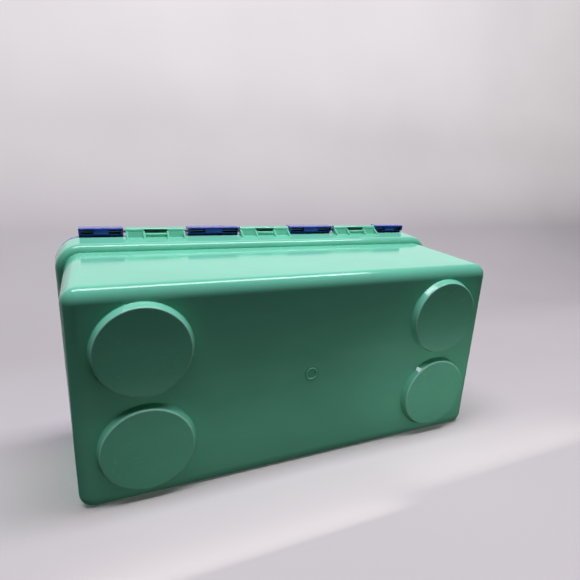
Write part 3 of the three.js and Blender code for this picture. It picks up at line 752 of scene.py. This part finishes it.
# ---- studio ----
SHEET_COLOUR = (0.60, 0.585, 0.575, 1)
SHEET_HALF_WIDTH = 4.0
SHEET_NEAR = -1.2                     # metres along the lying sheet from the latches, towards the camera
SHEET_BEND = 0.35                     # from the latches on to where it starts to bend up
SHEET_BEND_R = 0.5
SHEET_BEND_STEP = 4                   # degrees between the points of the bend ...
SHEET_BEND_POINTS = 24                # ... and how many there are
SHEET_GLOW = ((0.88, 0.06), (1.06, 0.62))      # (z, painted room light the sheet glows with) up to the first z and from the second
SHEET_TOP = 2.5
SHEET_PRESS = 0.0012                  # the soft sheet gives way under the box by so much
FLOOR_HALF = 1.5
FLOOR_Z = -0.0001
CARD_AT, CARD_FACES = (0.0, 0.42, 0.85), (0.0, 0.0, 0.05)
CARD_SIZE = (2.4, 0.5)
CARD_GLOW = 0.9
AMBIENT = (0.013, 0.012, 0.012)
BACKGROUND = (0.60, 0.59, 0.61)
COOL = (0.95, 0.905, 1.0)
WARM = (1.0, 0.91, 0.88)
WHITE = (1, 1, 1)
# name, place, what it faces, size, power, colour, and whether gloss shows it
LIGHTS = [
    ("key", (-0.10, 2.20, 0.0), (0, 0, 0.06), (2.6, 0.7), 62.0, COOL, True),
    ("bounce_right", (-0.15, -0.03, -0.07), (-0.15, -0.03, 0), (0.2, 0.01), 0.028, WARM, False),
    ("bounce_left", (0.07, -0.04, -0.08), (0.07, -0.04, 0), (0.2, 0.01), 0.0175, WARM, False),
    ("front", (0.5, -1.1, 0.9), (0, 0, 0.07), (0.8, 0.8), 12.0, WHITE, False),
    ("top", (0.2, -0.5, 1.6), (0, 0, 0.14), (1.0, 1.0), 14.0, WHITE, True),
]


def one_sided(name, colour, glow):
    """A pale matt sheet that is seen only from its front. glow lists (z, brightness) of its near and
    far ends, for the light that a real room would give it."""
    n = Nodes(name)
    n.tree.nodes.remove(n.shader)
    output = n.tree.nodes["Material Output"]
    tone = n.mix(n.ramp(n.noise(3.0, 2.0), 0.3, 0.7), shade(colour, 0.97), shade(colour, 1.03))
    matt = n.new("ShaderNodeBsdfDiffuse", {"Color": tone})
    height = n.new("ShaderNodeSeparateXYZ", {"Vector": n.place}).outputs["Z"]
    (near_z, near_glow), (far_z, far_glow) = glow
    room = n.new("ShaderNodeEmission", {
        "Color": tone, "Strength": n.ramp(height, near_z, far_z, near_glow, far_glow)})
    lit = n.new("ShaderNodeAddShader")
    n.link(matt.outputs[0], lit.inputs[0])
    n.link(room.outputs[0], lit.inputs[1])
    clear = n.new("ShaderNodeBsdfTransparent")
    behind = n.new("ShaderNodeNewGeometry").outputs["Backfacing"]
    mixed = n.new("ShaderNodeMixShader", {"Fac": behind})
    n.link(lit.outputs[0], mixed.inputs[1])
    n.link(clear.outputs[0], mixed.inputs[2])
    n.link(mixed.outputs[0], output.inputs["Surface"])
    return n.material


def stage_sheet(name, profile, half_width, reflects):
    """A sheet along (y, z) points in metres, across X. It casts no shadow or soft light on the box,
    and only one that reflects shows in its gloss."""
    verts = [Vector((x, y, z)) / MM for y, z in profile for x in (half_width, -half_width)]
    faces = [[2 * i, 2 * i + 1, 2 * i + 3, 2 * i + 2] for i in range(len(profile) - 1)]
    sheet = new_object(name, verts, faces)
    sheet.data.materials.append(SHEET)
    sheet.data.polygons.foreach_set("use_smooth", [True] * len(faces))
    sheet.visible_diffuse = False
    sheet.visible_glossy = reflects
    sheet.visible_transmission = False
    sheet.visible_shadow = False


def sheet_profile():
    """The box lies on the underside's front edge, taken as round here, and on the latches' tabs; the
    sheet bends upwards far behind. Its points up to the tabs, and from there on."""
    edge = Vector((-(CORNER_Y + BASE_OUTSET - BASE_EDGE), BASE_Z + BASE_EDGE)) * MM
    latch = Vector((LATCH_TAB_Y, LATCH_TAB_Z[1])) * MM
    span = latch - edge
    lie = math.atan2(span.x, span.y) + math.asin(BASE_EDGE * MM / span.length)
    along = Vector((math.sin(lie), math.cos(lie)))
    out = Vector((math.cos(lie), -math.sin(lie)))
    latch += out * SHEET_PRESS
    centre = latch + along * SHEET_BEND + out * SHEET_BEND_R
    turns = [math.radians(SHEET_BEND_STEP * i) for i in range(SHEET_BEND_POINTS)]
    bend = [centre - out * (SHEET_BEND_R * math.cos(t)) + along * (SHEET_BEND_R * math.sin(t)) for t in turns]
    return [latch + along * SHEET_NEAR, latch], [latch] + bend + [bend[-1] + out * SHEET_TOP]


def gloss_card(at, target, size, brightness):
    """A white card that only the gloss of the mouldings sees."""
    half_x, half_y = size[0] / 2, size[1] / 2
    corners = [Vector((x, y, 0)) / MM for x, y in
               ((-half_x, -half_y), (half_x, -half_y), (half_x, half_y), (-half_x, half_y))]
    card = new_object("gloss_card", corners, [[0, 1, 2, 3]])
    aim = (Vector(target) - Vector(at)).to_track_quat("Z", "Y")
    card.matrix_world = Matrix.Translation(at) @ aim.to_matrix().to_4x4()
    n = Nodes("gloss_card")
    n.tree.nodes.remove(n.shader)
    glow = n.new("ShaderNodeEmission", {"Color": (1, 1, 1, 1), "Strength": brightness})
    n.link(glow.outputs[0], n.tree.nodes["Material Output"].inputs["Surface"])
    card.data.materials.append(n.material)
    card.visible_camera = False
    card.visible_diffuse = False
    card.visible_transmission = False
    card.visible_shadow = False


def add_light(name, at, target, size, power, colour, glossy):
    data = bpy.data.lights.new(name, "AREA")
    data.shape = "RECTANGLE"
    data.size, data.size_y = size
    data.energy = power
    data.color = colour
    light = bpy.data.objects.new(name, data)
    light.location = at
    light.rotation_euler = (Vector(target) - Vector(at)).to_track_quat("-Z", "Y").to_euler()
    light.visible_camera = False
    light.visible_glossy = glossy
    bpy.context.scene.collection.objects.link(light)


def light_world(ambient, seen):
    world = bpy.data.worlds.new("studio")
    bpy.context.scene.world = world
    world.use_nodes = True
    tree = world.node_tree
    tree.nodes.clear()
    lighting = tree.nodes.new("ShaderNodeBackground")
    lighting.inputs["Color"].default_value = (*ambient, 1)
    shown = tree.nodes.new("ShaderNodeBackground")
    shown.inputs["Color"].default_value = (*seen, 1)
    path = tree.nodes.new("ShaderNodeLightPath")
    mixed = tree.nodes.new("ShaderNodeMixShader")
    output = tree.nodes.new("ShaderNodeOutputWorld")
    tree.links.new(path.outputs["Is Camera Ray"], mixed.inputs[0])
    tree.links.new(lighting.outputs[0], mixed.inputs[1])
    tree.links.new(shown.outputs[0], mixed.inputs[2])
    tree.links.new(mixed.outputs[0], output.inputs["Surface"])


SHEET = one_sided("pale_sheet", SHEET_COLOUR, SHEET_GLOW)
near_part, far_part = sheet_profile()
stage_sheet("sheet", near_part, SHEET_HALF_WIDTH, False)
stage_sheet("backdrop", far_part, SHEET_HALF_WIDTH, True)
stage_sheet("floor", [(FLOOR_HALF, FLOOR_Z), (-FLOOR_HALF, FLOOR_Z)], FLOOR_HALF, False)
gloss_card(CARD_AT, CARD_FACES, CARD_SIZE, CARD_GLOW)
light_world(AMBIENT, BACKGROUND)
for light in LIGHTS:
    add_light(*light)
bpy.context.scene.view_settings.view_transform = "Standard"
